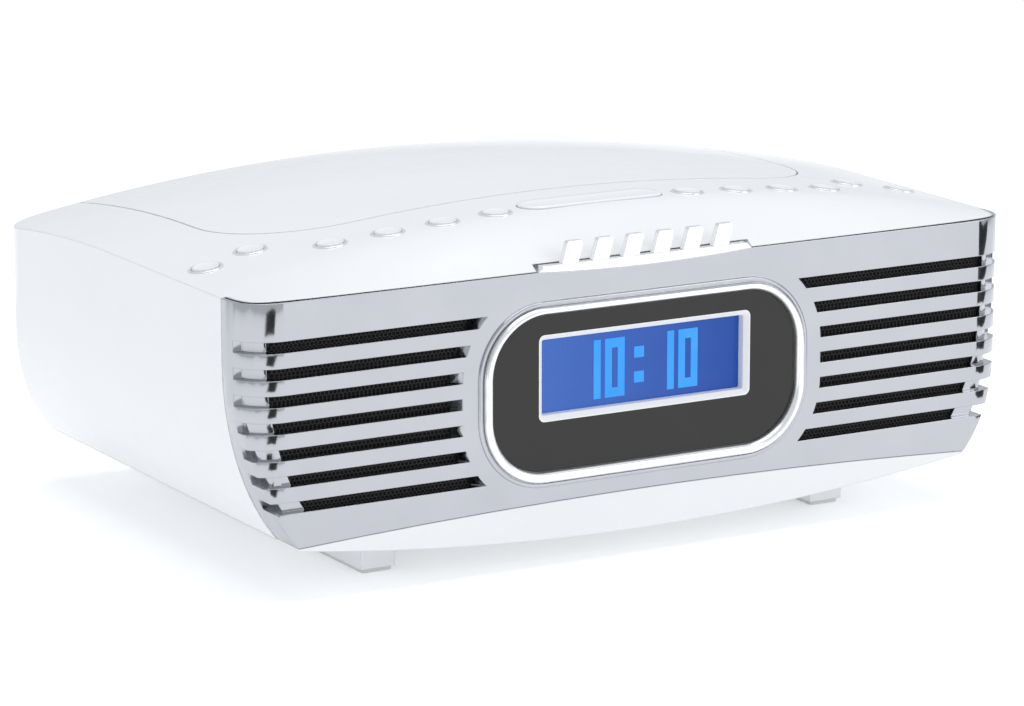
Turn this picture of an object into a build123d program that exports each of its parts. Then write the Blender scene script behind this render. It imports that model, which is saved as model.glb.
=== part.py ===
"""Table-top clock radio with a disc player under a wide lid.

Millimetres.  X runs left to right, Y front to back and Z up from the table.  The origin is the
middle of the footprint on the table.  Every piece is written to its own file in parts/.
"""

import math
import os

from build123d import *

os.makedirs("parts", exist_ok=True)

# ---- overall form of the case -------------------------------------------------------------
WIDTH = 300.0
DEPTH = 194.0
RIM_Z = 101.3  # straight top edge of the front and of the sides
CROWN = 14.7  # how far the top bulges above its rim
FOREHEAD = 32.0  # length over which the top rises behind the front
LEVEL_RUN = 100.0  # length of the top that stays level before it falls away
REAR_FALL = 7.0
WAIST_Z = 80.0  # below this the sides curve inwards
KEEL_Z = 18.4  # height of the lower side edge
SWELL_R = 45.0  # width and height of the quarter ellipse that the sides follow
DROP_R = 75.0
BELLY_Z = 9.1  # lowest line of the underside
FRONT_CORNER_R = 14.0
REAR_CORNER_R = 18.0
WALL = 2.4
SEAM = 0.2  # gap between neighbouring mouldings

# ---- front ---------------------------------------------------------------------------------
GRILLE_T = 4.6
GRILLE_WRAP = 16.5  # how far the chrome wraps round onto the sides
GRILLE_FOOT_Z = 18.0  # lower edge of the chrome at its ends
GRILLE_ARCH = 4.9  # rise of that edge in the middle
SLOT_COUNT = 7
SLOT_PITCH = 8.9
SLOT_H = 3.8
SLOT_MID_Z = 60.0
SLOT_LAND = 7.8  # chrome left between the oval and the slots
SLOT_END_SLOPE = 2.6  # how much less of it is left at the face, where the slots' ends slope in
SLOT_END_TAPER = 30.0
SLOT_END_LAND = 9.6  # chrome left between a slot's opening and the side
GROOVE_DEPTH = 3.0
GROOVE_WRAP = 10.0
MESH_T = 0.8

OVAL_W = 129.2
OVAL_H = 63.3
OVAL_R = 25.0
OVAL_Z = 59.8
BEAD_W = 1.3  # raised chrome line round the display ring
BEAD_PROUD = 0.8
RING_INSET = 1.7
RING_W = 3.3
RING_PROUD = 2.6
RING_SLEEVE = 1.2
RING_ROUND = 1.4
GLASS_T = 2.0
GLASS_SET = 2.6
WINDOW_RISE = 0.5  # the window sits this much above the middle of its ring
LCD_W = 83.0
LCD_H = 29.6
LCD_Z = 65.2
LCD_R = 2.2
LCD_VIEW_R = 0.8
LCD_FRAME_W = 1.9
LCD_BEVEL = 1.5
LCD_SET = 4.2
LCD_T = 2.6
DIGIT_H = 20.2
DIGIT_W = 7.6
DIGIT_STROKE = 2.6
DIGIT_CAP = 3.2  # stroke along the top and bottom of a nought
DIGIT_T = 0.3
DIGIT_DROP = 0.3
DIGIT_PITCH = 6.9
ONE_XS = (-16.6, 12.3)
COLON_X = -0.2
COLON_DOT = 3.8
COLON_PITCH = 8.6

TAB_COUNT = 6
TAB_PITCH = 11.8
TAB_H = 7.4
TAB_W = 6.4
TAB_T = 2.2
TAB_LEAN = 2.2
PLINTH_W = 84.0
PLINTH_H = 2.0
PLINTH_D = 5.0
PLINTH_DIP = 1.4

# ---- keys on top ---------------------------------------------------------------------------
KEY_R = 4.5
KEY_RING_W = 1.3
KEY_GAP = 0.3
KEY_PROUD = 0.9
KEY_TRAVEL = 1.0
KEY_PLACES = ((38.0, 35.0), (58.0, 35.5), (78.0, 37.0), (98.0, 40.0), (119.0, 57.0), (138.0, 52.0))
SNOOZE_W = 55.0
SNOOZE_D = 13.6
SNOOZE_Y = 37.0
SNOOZE_TRAVEL = 1.2
SNOOZE_T = 6.7
SNOOZE_STEM_R = 2.5
KEY_STEM_R = 2.0
KEY_STEM_H = 1.0
PRESS_SLACK = 0.2  # left between a pressed key and its switch
KEY_BOARD_Z = 90.0
KEY_BOARD_W = 208.0
KEY_BOARD_RUN = (27.0, 50.0)
KEY_WING_X = 123.0
KEY_WING_W = 44.0
KEY_WING_RUN = (44.0, 66.0)
BOARD_T = 1.6
SWITCH_W = 6.0
SWITCH_H = 3.0
SWITCH_TIP_R = 1.7
SWITCH_TIP_H = 1.0

# ---- lid and disc player -------------------------------------------------------------------
LID_HALF = 118.0
LID_FRONT = 60.0
LID_CORNER_R = 40.0
LID_GAP = 0.6
LID_REAR_GAP = 2.6
HINGE_IN = 7.0  # hinge line in from the rear face
HINGE_Z = 84.0
HINGE_X = 104.0
HINGE_PIN_R = 1.5
HINGE_BOSS_R = 3.8
HINGE_ARM_T = 4.0
HINGE_ARM_W = 6.0
HINGE_ARM_H = 36.0
HINGE_REACH = 15.0
EAR_T = 2.6
RUN_FIT = 0.05
DECK_Z = 96.0
DECK_T = 2.4
WELL_R = 62.5
WELL_FLOOR_Z = 87.0
DISC_Y = 27.5
HUB_R = 13.0
HUB_PILOT_R = 7.4
HUB_T = 2.0
PILOT_H = 2.2
PILOT_GAP = 0.4
PILOT_CHAMFER = 0.8
DISC_Z = 90.5
SHAFT_R = 1.0
SHAFT_SUNK = 10.0
SHAFT_PROUD = 1.5
MOTOR_R = 12.0
MOTOR_L = 13.0
MOTOR_ROUND = 1.5
SLED_W = 26.0
SLED_L = 22.0
SLED_START = 18.5
SLED_TRAVEL = 20.0
SLED_END = SLED_START + SLED_L + SLED_TRAVEL + 0.5
SLED_ROOM = 1.0
LENS_BARREL_R = 4.5
LENS_R = 3.2
LENS_T = 1.2
ROD_R = 1.5
ROD_IN = 3.0
ROD_DROP = 4.0
ROD_SPARE = 4.0
CHASSIS_Z = 80.0
CHASSIS_T = 2.0
CHASSIS_W = 106.0
CHASSIS_D = 66.0
CHASSIS_X = 23.0
LUG_T = 3.0
LUG_H = 7.0
GROMMET_R = 4.0
GROMMET_XS = (-24.0, 50.0)
GROMMET_IN = 7.0
CLAMP_R = 13.0
CLAMP_NECK_R = 6.0
CLAMP_PAD_Z = 92.0
HOLDER_Z = 101.0
HOLDER_WALL = 2.0
HOLDER_LIP_T = 1.5
CLAMP_DISC_T = 1.5
CLAMP_LIFT = 0.6  # play of the loose clamp in its holder
CLAMP_PLAY = 1.0
HOOK_XS = (-78.0, 78.0)
HOOK_Y = -30.0
HOOK_W = 6.0
HOOK_T = 2.4
HOOK_DROP = 3.0  # how far a hook reaches below the deck
HOOK_NIB = 1.0
DECK_RIM_IN = 1.5
DECK_RIM_OUT = 3.5
EAR_MID = HINGE_ARM_T / 2 + 0.4 + EAR_T / 2

# ---- underside -----------------------------------------------------------------------------
RUNNER_OUT = 96.0
RUNNER_W = 13.0
RUNNER_FRONT = 24.0
RUNNER_BACK = 176.0
PAD_T = 1.5
PAD_L = 34.0
RUNNER_TOP_Z = 14.8

# ---- speakers ------------------------------------------------------------------------------
SPEAKER_R = 33.0
SPEAKER_X = 101.0
SPEAKER_Z = 58.0
SPEAKER_FLANGE_T = 2.0
SPEAKER_FLANGE_W = 5.0
SPEAKER_DEPTH = 18.0
SPEAKER_BOLT = 21.0
SPEAKER_HOLE_R = 1.6
BASKET_T = 2.0
BASKET_FLOOR_T = 1.5
BASKET_NECK_R = 15.0
CONE_GAP = 0.3
CONE_DEPTH = 11.0
CONE_NECK_R = 9.0
CONE_T = 1.0
COIL_R = 9.5
COIL_L = 3.0
MAGNET_R = 18.0
MAGNET_T = 9.0

# ---- fixing and sockets ----------------------------------------------------------------------
POSTS = ((112.0, -52.0), (112.0, 70.0))
BOARD_POSTS = ((62.0, -4.0), (62.0, 82.0))
BOARD_Z = 26.0
BOARD_W = 132.0
BOARD_RUN = (89.0, 183.0)
SINK_X = -40.0
SINK_W = 30.0
SINK_RUN = (117.0, 157.0)
SINK_BASE_T = 3.0
FIN_COUNT = 6
FIN_PITCH = 7.2
FIN_T = 2.0
FIN_H = 18.0
CAN_X = 40.0
CAN_W = 36.0
CAN_RUN = (141.0, 177.0)
CAN_H = 12.0
CAN_ROUND = 1.5
SCREW_SEAT_Z = 17.2
SCREW_HEAD_T = 1.4
POST_R = 4.0
POST_H = 26.0
SCREW_R = 1.5
SCREW_L = 22.2
SCREW_HEAD_R = 3.0
PILOT_SPARE = 1.0  # how far a pilot hole runs past its screw
RIB_T = 2.0
RIB_LIFT = 10.0
JACK_Z = 40.0
JACKS = ((-96.0, 5.0), (-76.0, 3.6), (-60.0, 3.6), (96.0, 5.0))
JACK_L = 14.0
JACK_BORE_L = 10.0
JACK_COLLAR = 2.0
JACK_PROUD = 0.6
AERIAL_PROUD = RING_PROUD  # keeps the origin midway between front and back

JACK_BORES = (
    (2.75, JACK_PROUD, "dc_inlet"),
    (1.8, JACK_PROUD, "aux_jack"),
    (1.8, JACK_PROUD, "headphone_jack"),
    (2.2, AERIAL_PROUD, "aerial_socket"),
)

SIDES = ((-1, "left"), (1, "right"))
HALF = WIDTH / 2
FRONT = -DEPTH / 2
BACK = DEPTH / 2
TALL = 160.0
HINGE_Y = BACK - HINGE_IN


def save(piece, name):
    """Name a finished piece and write its file."""
    piece.label = name
    export_step(piece, f"parts/{name}.step")


def top_height(x, y):
    """Height of the case's top at a point in plan."""
    run = y - FRONT
    rise = math.sin(math.pi / 2 * max(min(run / FOREHEAD, 1.0), -1.0))
    back = max(run - LEVEL_RUN, 0.0) / (DEPTH - LEVEL_RUN)
    return RIM_Z + CROWN * (1 - (x / HALF) ** 2) * rise - REAR_FALL * back**2


def under_top(inset):
    """Everything below the top, drawn in by the inset."""
    across = [HALF * 1.1 * (i / 12 - 1) for i in range(25)]
    along = [FRONT - 8 + (DEPTH + 16) * j / 42 for j in range(43)]
    rows = [[Vector(x, y, top_height(x, y - inset) - inset) for y in along] for x in across]
    sheet = Face.make_surface_from_array_of_points(rows, tol=0.002)
    with BuildPart() as below:
        extrude(sheet, amount=TALL, dir=(0, 0, -1))
    return below.part


def hull(inset=0.0, capped=True):
    """Solid of the case's outer form, drawn in by the inset on every face."""
    half = HALF - inset
    belly_z = BELLY_Z + inset
    keel_z = KEEL_Z + 0.6 * inset
    drop_r = DROP_R - inset
    swell_r = SWELL_R - 0.7 * inset
    turn = math.degrees(math.asin((WAIST_Z - keel_z) / drop_r))
    keel_x = half - swell_r * (1 - math.cos(math.radians(turn)))
    with BuildPart() as form:
        with BuildSketch(Plane.XZ):
            with BuildLine():
                Line((0, belly_z), (0, TALL))
                Line((0, TALL), (half, TALL))
                Line((half, TALL), (half, WAIST_Z))
                EllipticalCenterArc((half - swell_r, WAIST_Z), swell_r, drop_r, -turn, arc_size=turn)
                quarter_z = belly_z + (keel_z - belly_z) / 4
                ThreePointArc((keel_x, keel_z), (keel_x / 2, quarter_z), (0, belly_z))
            make_face()
            mirror(about=Plane.YZ)
        extrude(amount=DEPTH, both=True)
        with BuildSketch(Plane.XY):
            Rectangle(2 * half, DEPTH - 2 * inset)
            fillet(vertices().group_by(Axis.Y)[0], FRONT_CORNER_R - inset)
            fillet(vertices().group_by(Axis.Y)[-1], REAR_CORNER_R - inset)
        extrude(amount=TALL, mode=Mode.INTERSECT)
        if capped:
            add(under_top(inset), mode=Mode.INTERSECT)
    return form.part


def slab(x_size, y_low, y_high, z_low, z_high, x_mid=0.0):
    """Block between two heights and two depths."""
    with BuildPart(Plane((x_mid, (y_low + y_high) / 2, (z_low + z_high) / 2))) as block:
        Box(x_size, y_high - y_low, z_high - z_low)
    return block.part


def rod(radius, x, y, z_low, z_high):
    """Upright round bar."""
    with BuildPart(Plane((x, y, z_low))) as bar:
        Cylinder(radius, z_high - z_low, align=(Align.CENTER, Align.CENTER, Align.MIN))
    return bar.part


def facing(z, y, x=0.0):
    """Plane that faces the front, with its drawing right way up."""
    return Plane((x, y, z), x_dir=(1, 0, 0), z_dir=(0, -1, 0))


def skin(outer, inner):
    """Layer of the case's form between two insets."""
    with BuildPart() as layer:
        add(hull(outer))
        add(hull(inner), mode=Mode.SUBTRACT)
    return layer.part


def lid_block(grow=0.0):
    """Upright block over the lid's plan, which runs out past the rear face."""
    front_y = FRONT + LID_FRONT - grow
    back_y = BACK + 20
    with BuildPart() as block:
        with BuildSketch(Plane((0, (front_y + back_y) / 2, HINGE_Z))):
            Rectangle(2 * (LID_HALF + grow), back_y - front_y)
            fillet(vertices().group_by(Axis.Y)[0], LID_CORNER_R + grow)
        extrude(amount=60)
    return block.part


def oblong(width, height, radius, z, y_low, y_high):
    """Block with a rounded-oblong outline that faces the front."""
    with BuildPart() as block:
        with BuildSketch(facing(z, y_high)):
            RectangleRounded(width, height, radius)
        extrude(amount=y_high - y_low)
    return block.part


def oval(inset, y_low, y_high, rise=0.0):
    """Block with the display's outline, drawn in by the inset."""
    width = OVAL_W - 2 * inset
    height = OVAL_H - 2 * inset
    return oblong(width, height, OVAL_R - inset, OVAL_Z + rise, y_low, y_high)


def below_arch(grow=0.0):
    """Block below the arched lower edge of the chrome."""
    ends_z = GRILLE_FOOT_Z + grow
    with BuildPart() as block:
        with BuildSketch(facing(0, FRONT + GRILLE_WRAP + SEAM)):
            with BuildLine():
                ThreePointArc((-HALF, ends_z), (0, ends_z + GRILLE_ARCH), (HALF, ends_z))
                Polyline((HALF, ends_z), (HALF, -10), (-HALF, -10), (-HALF, ends_z))
            make_face()
        extrude(amount=GRILLE_WRAP + 10)
    return block.part


case_form = hull()
case_hollow = hull(WALL)
with BuildPart() as case_skin:
    add(case_form)
    add(case_hollow, mode=Mode.SUBTRACT)

# ---- chrome front --------------------------------------------------------------------------
slot_zs = [SLOT_MID_Z + SLOT_PITCH * (k - SLOT_COUNT // 2) for k in range(SLOT_COUNT)]
with BuildPart() as slots:
    for slot_z in slot_zs:
        add(slab(WIDTH + 20, FRONT - 5, FRONT + GROOVE_WRAP, slot_z - SLOT_H / 2, slot_z + SLOT_H / 2))
    with BuildSketch(facing(OVAL_Z, FRONT - 1)):
        land = SLOT_LAND - SLOT_END_SLOPE
        RectangleRounded(OVAL_W + 2 * land, OVAL_H + 2 * land, OVAL_R + land)
    extrude(amount=-GROOVE_WRAP - 2, taper=-SLOT_END_TAPER, mode=Mode.SUBTRACT)
with BuildPart() as grooves:
    add(slots.part)
    add(hull(GROOVE_DEPTH, capped=False), mode=Mode.SUBTRACT)
with BuildPart() as slot_openings:
    add(slots.part)
    add(Pos(0, -20, 0) * hull(SLOT_END_LAND, capped=False), mode=Mode.INTERSECT)

window_in = RING_INSET + RING_W
sleeve_in = window_in - RING_SLEEVE
dip_z = RIM_Z - PLINTH_DIP
with BuildPart() as plinth_block:
    with BuildSketch(facing(0, FRONT + PLINTH_D)):
        with BuildLine():
            ThreePointArc((-PLINTH_W / 2, RIM_Z), (0, dip_z), (PLINTH_W / 2, RIM_Z))
            Polyline(
                (PLINTH_W / 2, RIM_Z),
                (PLINTH_W / 2 - PLINTH_H, RIM_Z + PLINTH_H),
                (PLINTH_H - PLINTH_W / 2, RIM_Z + PLINTH_H),
                (-PLINTH_W / 2, RIM_Z),
            )
        make_face()
    extrude(amount=PLINTH_D + 0.4)
with BuildPart() as bead:
    add(oval(0, FRONT - BEAD_PROUD, FRONT + 1))
    fillet(bead.faces().sort_by(Axis.Y)[0].edges(), BEAD_PROUD * 0.7)
    add(oval(BEAD_W, FRONT - 2, FRONT + 2), mode=Mode.SUBTRACT)
with BuildPart() as front_grille:
    add(hull(0.0, capped=False))
    add(hull(GRILLE_T, capped=False), mode=Mode.SUBTRACT)
    add(slab(WIDTH, FRONT, FRONT + GRILLE_WRAP, GRILLE_FOOT_Z, RIM_Z), mode=Mode.INTERSECT)
    add(below_arch(SEAM), mode=Mode.SUBTRACT)
    add(grooves.part, mode=Mode.SUBTRACT)
    add(slot_openings.part, mode=Mode.SUBTRACT)
    add(bead.part)
    add(oval(sleeve_in, FRONT - 1, FRONT + 10), mode=Mode.SUBTRACT)
    add(plinth_block.part, mode=Mode.SUBTRACT)
save(front_grille.part, "front_grille")

with BuildPart() as ornament_plinth:
    add(plinth_block.part)
save(ornament_plinth.part, "ornament_plinth")

with BuildPart() as ornament_tabs:
    for k in range(TAB_COUNT):
        tab_x = TAB_PITCH * (k - (TAB_COUNT - 1) / 2)
        with BuildSketch(facing(RIM_Z + PLINTH_H, FRONT + TAB_T, tab_x)):
            with BuildLine():
                Polyline(
                    (-TAB_W / 2, 0),
                    (TAB_W / 2, 0),
                    (TAB_W / 2 + TAB_LEAN, TAB_H),
                    (TAB_LEAN - TAB_W / 2, TAB_H),
                    (-TAB_W / 2, 0),
                )
            make_face()
            fillet(vertices().group_by(Axis.Y)[-1], 1.0)
        extrude(amount=TAB_T)
save(ornament_tabs.part, "ornament_tabs")

mesh_low = slot_zs[0] - SLOT_PITCH / 2
mesh_high = slot_zs[-1] + SLOT_PITCH / 2
mesh_in = OVAL_W / 2 - sleeve_in + 1
mesh_back = FRONT + GRILLE_T + MESH_T
with BuildPart() as mesh_sheet:
    add(hull(GRILLE_T, capped=False))
    add(hull(GRILLE_T + MESH_T, capped=False), mode=Mode.SUBTRACT)
    add(slab(WIDTH, FRONT, FRONT + GROOVE_WRAP + 2, mesh_low, mesh_high), mode=Mode.INTERSECT)
for side, word in SIDES:
    with BuildPart() as grille_mesh:
        add(mesh_sheet.part)
        mesh_x = side * (mesh_in + HALF) / 2
        add(slab(HALF - mesh_in, FRONT, 0, 0, TALL, mesh_x), mode=Mode.INTERSECT)
    save(grille_mesh.part, f"grille_mesh_{word}")

# ---- display -------------------------------------------------------------------------------
with BuildPart() as display_ring:
    add(oval(RING_INSET, FRONT - RING_PROUD, FRONT))
    fillet(display_ring.faces().sort_by(Axis.Y)[0].edges(), RING_ROUND)
    add(oval(sleeve_in, FRONT - 1, FRONT + GRILLE_T))
    add(oval(window_in, FRONT - 5, FRONT + 10, WINDOW_RISE), mode=Mode.SUBTRACT)
save(display_ring.part, "display_ring")

glass_front = FRONT - RING_PROUD + GLASS_SET
with BuildPart() as display_glass:
    add(oval(window_in + SEAM / 2, glass_front, glass_front + GLASS_T, WINDOW_RISE))
    add(oblong(LCD_W, LCD_H, LCD_R, LCD_Z, FRONT - 5, FRONT + 5), mode=Mode.SUBTRACT)
save(display_glass.part, "display_glass")

lcd_face = glass_front + LCD_SET
with BuildPart() as lcd_frame:
    add(oblong(LCD_W, LCD_H, LCD_R, LCD_Z, glass_front - 0.1, lcd_face))
    view_w = LCD_W - 2 * LCD_FRAME_W
    view_h = LCD_H - 2 * LCD_FRAME_W
    add(oblong(view_w, view_h, LCD_VIEW_R, LCD_Z, FRONT - 5, FRONT + 5), mode=Mode.SUBTRACT)
    chamfer(lcd_frame.faces().sort_by(Axis.Y)[0].inner_wires()[0].edges(), LCD_BEVEL)
save(lcd_frame.part, "lcd_frame")

with BuildPart() as lcd_panel:
    add(oblong(LCD_W, LCD_H, LCD_R, LCD_Z, lcd_face, lcd_face + LCD_T))
save(lcd_panel.part, "lcd_panel")

figure_z = LCD_Z - DIGIT_DROP
with BuildPart() as clock_digits:
    with BuildSketch(facing(0, lcd_face)):
        for one_x in ONE_XS:
            with Locations((one_x, figure_z)):
                Rectangle(DIGIT_STROKE, DIGIT_H)
            with Locations((one_x + DIGIT_PITCH, figure_z)):
                Rectangle(DIGIT_W, DIGIT_H)
                Rectangle(DIGIT_W - 2 * DIGIT_STROKE, DIGIT_H - 2 * DIGIT_CAP, mode=Mode.SUBTRACT)
        with Locations((COLON_X, figure_z)):
            with GridLocations(0, COLON_PITCH, 1, 2):
                Rectangle(COLON_DOT, COLON_DOT)
    extrude(amount=DIGIT_T)
save(clock_digits.part, "clock_digits")

display_board_y = lcd_face + LCD_T
with BuildPart() as display_board:
    board_w = OVAL_W - 2 * OVAL_R
    board_low = OVAL_Z - OVAL_H / 2 + window_in + WINDOW_RISE + SEAM
    board_high = board_low + OVAL_H - 2 * window_in - 2 * SEAM
    add(slab(board_w, display_board_y, display_board_y + BOARD_T, board_low, board_high))
save(display_board.part, "display_board")

# ---- speakers ------------------------------------------------------------------------------
basket_front = mesh_back + SEAM
bell_r = SPEAKER_R - SPEAKER_FLANGE_W
mouth_r = bell_r - BASKET_T
for side, word in SIDES:
    speaker_face = facing(SPEAKER_Z, basket_front, side * SPEAKER_X)
    with BuildPart() as speaker_basket:
        with BuildSketch(speaker_face.offset(-SPEAKER_FLANGE_T)):
            Circle(SPEAKER_R)
        extrude(amount=SPEAKER_FLANGE_T)
        with BuildSketch(speaker_face.offset(-SPEAKER_FLANGE_T)):
            Circle(bell_r)
        with BuildSketch(speaker_face.offset(-SPEAKER_DEPTH)):
            Circle(BASKET_NECK_R)
        loft()
        with BuildSketch(speaker_face.offset(-SPEAKER_FLANGE_T)):
            Circle(mouth_r)
        with BuildSketch(speaker_face.offset(BASKET_FLOOR_T - SPEAKER_DEPTH)):
            Circle(BASKET_NECK_R - BASKET_T)
        loft(mode=Mode.SUBTRACT)
        with BuildSketch(speaker_face):
            Circle(mouth_r)
            with GridLocations(2 * SPEAKER_BOLT, 2 * SPEAKER_BOLT, 2, 2):
                Circle(SPEAKER_HOLE_R)
        extrude(amount=-SPEAKER_FLANGE_T, mode=Mode.SUBTRACT)
    save(speaker_basket.part, f"speaker_basket_{word}")
    with BuildPart() as speaker_cone:
        with BuildSketch(speaker_face.offset(-CONE_T)):
            Circle(mouth_r - CONE_GAP)
        with BuildSketch(speaker_face.offset(-CONE_DEPTH - CONE_T)):
            Circle(CONE_NECK_R)
        loft()
        with BuildSketch(speaker_face):
            Circle(mouth_r - CONE_GAP)
        with BuildSketch(speaker_face.offset(-CONE_DEPTH)):
            Circle(CONE_NECK_R)
        loft(mode=Mode.SUBTRACT)
        with BuildSketch(speaker_face.offset(-CONE_DEPTH - CONE_T)):
            Circle(COIL_R)
        extrude(amount=COIL_L)
    save(speaker_cone.part, f"speaker_cone_{word}")
    with BuildPart() as speaker_magnet:
        with BuildSketch(speaker_face.offset(-SPEAKER_DEPTH - MAGNET_T)):
            Circle(MAGNET_R)
        extrude(amount=MAGNET_T)
    save(speaker_magnet.part, f"speaker_magnet_{word}")

# ---- case: cover and tray --------------------------------------------------------------------
key_xy = [(side * x, FRONT + run) for x, run in KEY_PLACES for side in (-1, 1)]
snooze_y = FRONT + SNOOZE_Y
part_z = KEEL_Z
screw_tip = SCREW_SEAT_Z + SCREW_L
front_zone = slab(WIDTH + 4, FRONT - 4, FRONT + GRILLE_WRAP + SEAM, -5, RIM_Z + SEAM)
with BuildPart() as lid_slot:
    add(lid_block(LID_GAP))
    add(under_top(WALL + LID_REAR_GAP), mode=Mode.SUBTRACT)
with BuildPart() as top_case:
    add(case_skin.part)
    add(slab(WIDTH + 4, FRONT - 4, BACK + 4, -5, part_z + SEAM), mode=Mode.SUBTRACT)
    add(front_zone, mode=Mode.SUBTRACT)
    add(lid_slot.part, mode=Mode.SUBTRACT)
    plinth_room = PLINTH_W + 2 * SEAM
    add(
        slab(plinth_room, FRONT - 4, FRONT + PLINTH_D + SEAM, RIM_Z, RIM_Z + PLINTH_H + SEAM),
        mode=Mode.SUBTRACT,
    )
    with BuildSketch(Plane.XY.offset(KEY_BOARD_Z)):
        with Locations(*key_xy):
            Circle(KEY_R + KEY_RING_W)
        with Locations((0, snooze_y)):
            SlotOverall(SNOOZE_W + 2 * KEY_GAP, SNOOZE_D + 2 * KEY_GAP)
    extrude(amount=40, mode=Mode.SUBTRACT)
    for post_x, post_y in POSTS:
        for side in (-1, 1):
            add(rod(POST_R, side * post_x, post_y, part_z + SEAM, part_z + POST_H))
            rib_out = HALF - WALL / 2
            rib_x = side * (post_x + rib_out) / 2
            rib_ends = (post_y - RIB_T / 2, post_y + RIB_T / 2)
            add(slab(rib_out - post_x, *rib_ends, part_z + RIB_LIFT, part_z + POST_H, rib_x))
            add(rod(SCREW_R, side * post_x, post_y, 0, screw_tip + PILOT_SPARE), mode=Mode.SUBTRACT)
    add(case_form, mode=Mode.INTERSECT)
    for jack_x, jack_r in JACKS:
        with Locations(Plane((jack_x, BACK, JACK_Z), x_dir=(1, 0, 0), z_dir=(0, 1, 0))):
            Hole(jack_r + SEAM, depth=JACK_BORE_L)
save(top_case.part, "top_case")

with BuildPart() as apron:
    add(case_skin.part)
    add(below_arch(), mode=Mode.INTERSECT)
with BuildPart() as base_tray:
    add(case_skin.part)
    add(slab(WIDTH + 4, FRONT - 4, BACK + 4, -5, part_z), mode=Mode.INTERSECT)
    add(apron.part)
    for side in (-1, 1):
        runner_x = side * (RUNNER_OUT - RUNNER_W / 2)
        add(slab(RUNNER_W, FRONT + RUNNER_FRONT, FRONT + RUNNER_BACK, PAD_T, RUNNER_TOP_Z, runner_x))
        for post_x, post_y in BOARD_POSTS:
            add(rod(POST_R - 1, side * post_x, post_y, BELLY_Z + 1.5, BOARD_Z))
        for post_x, post_y in POSTS:
            add(rod(SCREW_R + SEAM, side * post_x, post_y, 0, part_z + 1), mode=Mode.SUBTRACT)
            add(rod(SCREW_HEAD_R + SEAM, side * post_x, post_y, 0, SCREW_SEAT_Z), mode=Mode.SUBTRACT)
save(base_tray.part, "base_tray")

with BuildPart() as case_screws:
    for post_x, post_y in POSTS:
        for side in (-1, 1):
            add(rod(SCREW_HEAD_R, side * post_x, post_y, SCREW_SEAT_Z - SCREW_HEAD_T, SCREW_SEAT_Z))
            add(rod(SCREW_R, side * post_x, post_y, SCREW_SEAT_Z, screw_tip))
save(case_screws.part, "case_screws")

with BuildPart() as rubber_feet:
    for side in (-1, 1):
        foot_x = side * (RUNNER_OUT - RUNNER_W / 2)
        front_end = FRONT + RUNNER_FRONT + 1
        back_end = FRONT + RUNNER_BACK - 1
        add(slab(RUNNER_W - 2, front_end, front_end + PAD_L, 0, PAD_T, foot_x))
        add(slab(RUNNER_W - 2, back_end - PAD_L, back_end, 0, PAD_T, foot_x))
save(rubber_feet.part, "rubber_feet")

# ---- keys ------------------------------------------------------------------------------------
proud_form = hull(-KEY_PROUD)
switch_top = KEY_BOARD_Z + BOARD_T + SWITCH_H
stem_z = switch_top + KEY_TRAVEL + PRESS_SLACK
for number, (key_x, key_y) in enumerate(sorted(key_xy), start=1):
    with BuildPart() as key:
        add(rod(KEY_R, key_x, key_y, stem_z + KEY_STEM_H, TALL))
        add(rod(KEY_STEM_R, key_x, key_y, stem_z, stem_z + KEY_STEM_H))
        add(proud_form, mode=Mode.INTERSECT)
    save(key.part, f"key_{number:02d}")

with BuildPart() as key_rings:
    for key_x, key_y in key_xy:
        add(rod(KEY_R + KEY_RING_W, key_x, key_y, KEY_BOARD_Z, TALL))
    for key_x, key_y in key_xy:
        add(rod(KEY_R + KEY_GAP, key_x, key_y, KEY_BOARD_Z, TALL), mode=Mode.SUBTRACT)
    add(hull(-KEY_PROUD / 2), mode=Mode.INTERSECT)
    add(case_hollow, mode=Mode.SUBTRACT)
save(key_rings.part, "key_rings")

snooze_stem_z = switch_top + SNOOZE_TRAVEL + PRESS_SLACK
snooze_low = RIM_Z + CROWN - SNOOZE_T
with BuildPart() as snooze_bar:
    with BuildSketch(Plane.XY.offset(snooze_low)):
        with Locations((0, snooze_y)):
            SlotOverall(SNOOZE_W, SNOOZE_D)
    extrude(amount=2 * SNOOZE_T)
    for side in (-1, 1):
        add(rod(SNOOZE_STEM_R, side * SNOOZE_W / 4, snooze_y, snooze_stem_z, snooze_low + 1))
    add(proud_form, mode=Mode.INTERSECT)
save(snooze_bar.part, "snooze_bar")

board_y = [FRONT + run for run in KEY_BOARD_RUN]
wing_y = [FRONT + run for run in KEY_WING_RUN]
with BuildPart() as key_board:
    add(slab(KEY_BOARD_W, *board_y, KEY_BOARD_Z, KEY_BOARD_Z + BOARD_T))
    for side in (-1, 1):
        add(slab(KEY_WING_W, *wing_y, KEY_BOARD_Z, KEY_BOARD_Z + BOARD_T, side * KEY_WING_X))
save(key_board.part, "key_board")

with BuildPart() as key_switches:
    switch_xy = key_xy + [(-SNOOZE_W / 4, snooze_y), (SNOOZE_W / 4, snooze_y)]
    for switch_x, switch_y in switch_xy:
        with BuildSketch(Plane((switch_x, switch_y, KEY_BOARD_Z + BOARD_T))):
            Rectangle(SWITCH_W, SWITCH_W)
        extrude(amount=SWITCH_H - SWITCH_TIP_H)
        add(rod(SWITCH_TIP_R, switch_x, switch_y, switch_top - SWITCH_TIP_H, switch_top))
save(key_switches.part, "key_switches")

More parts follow.
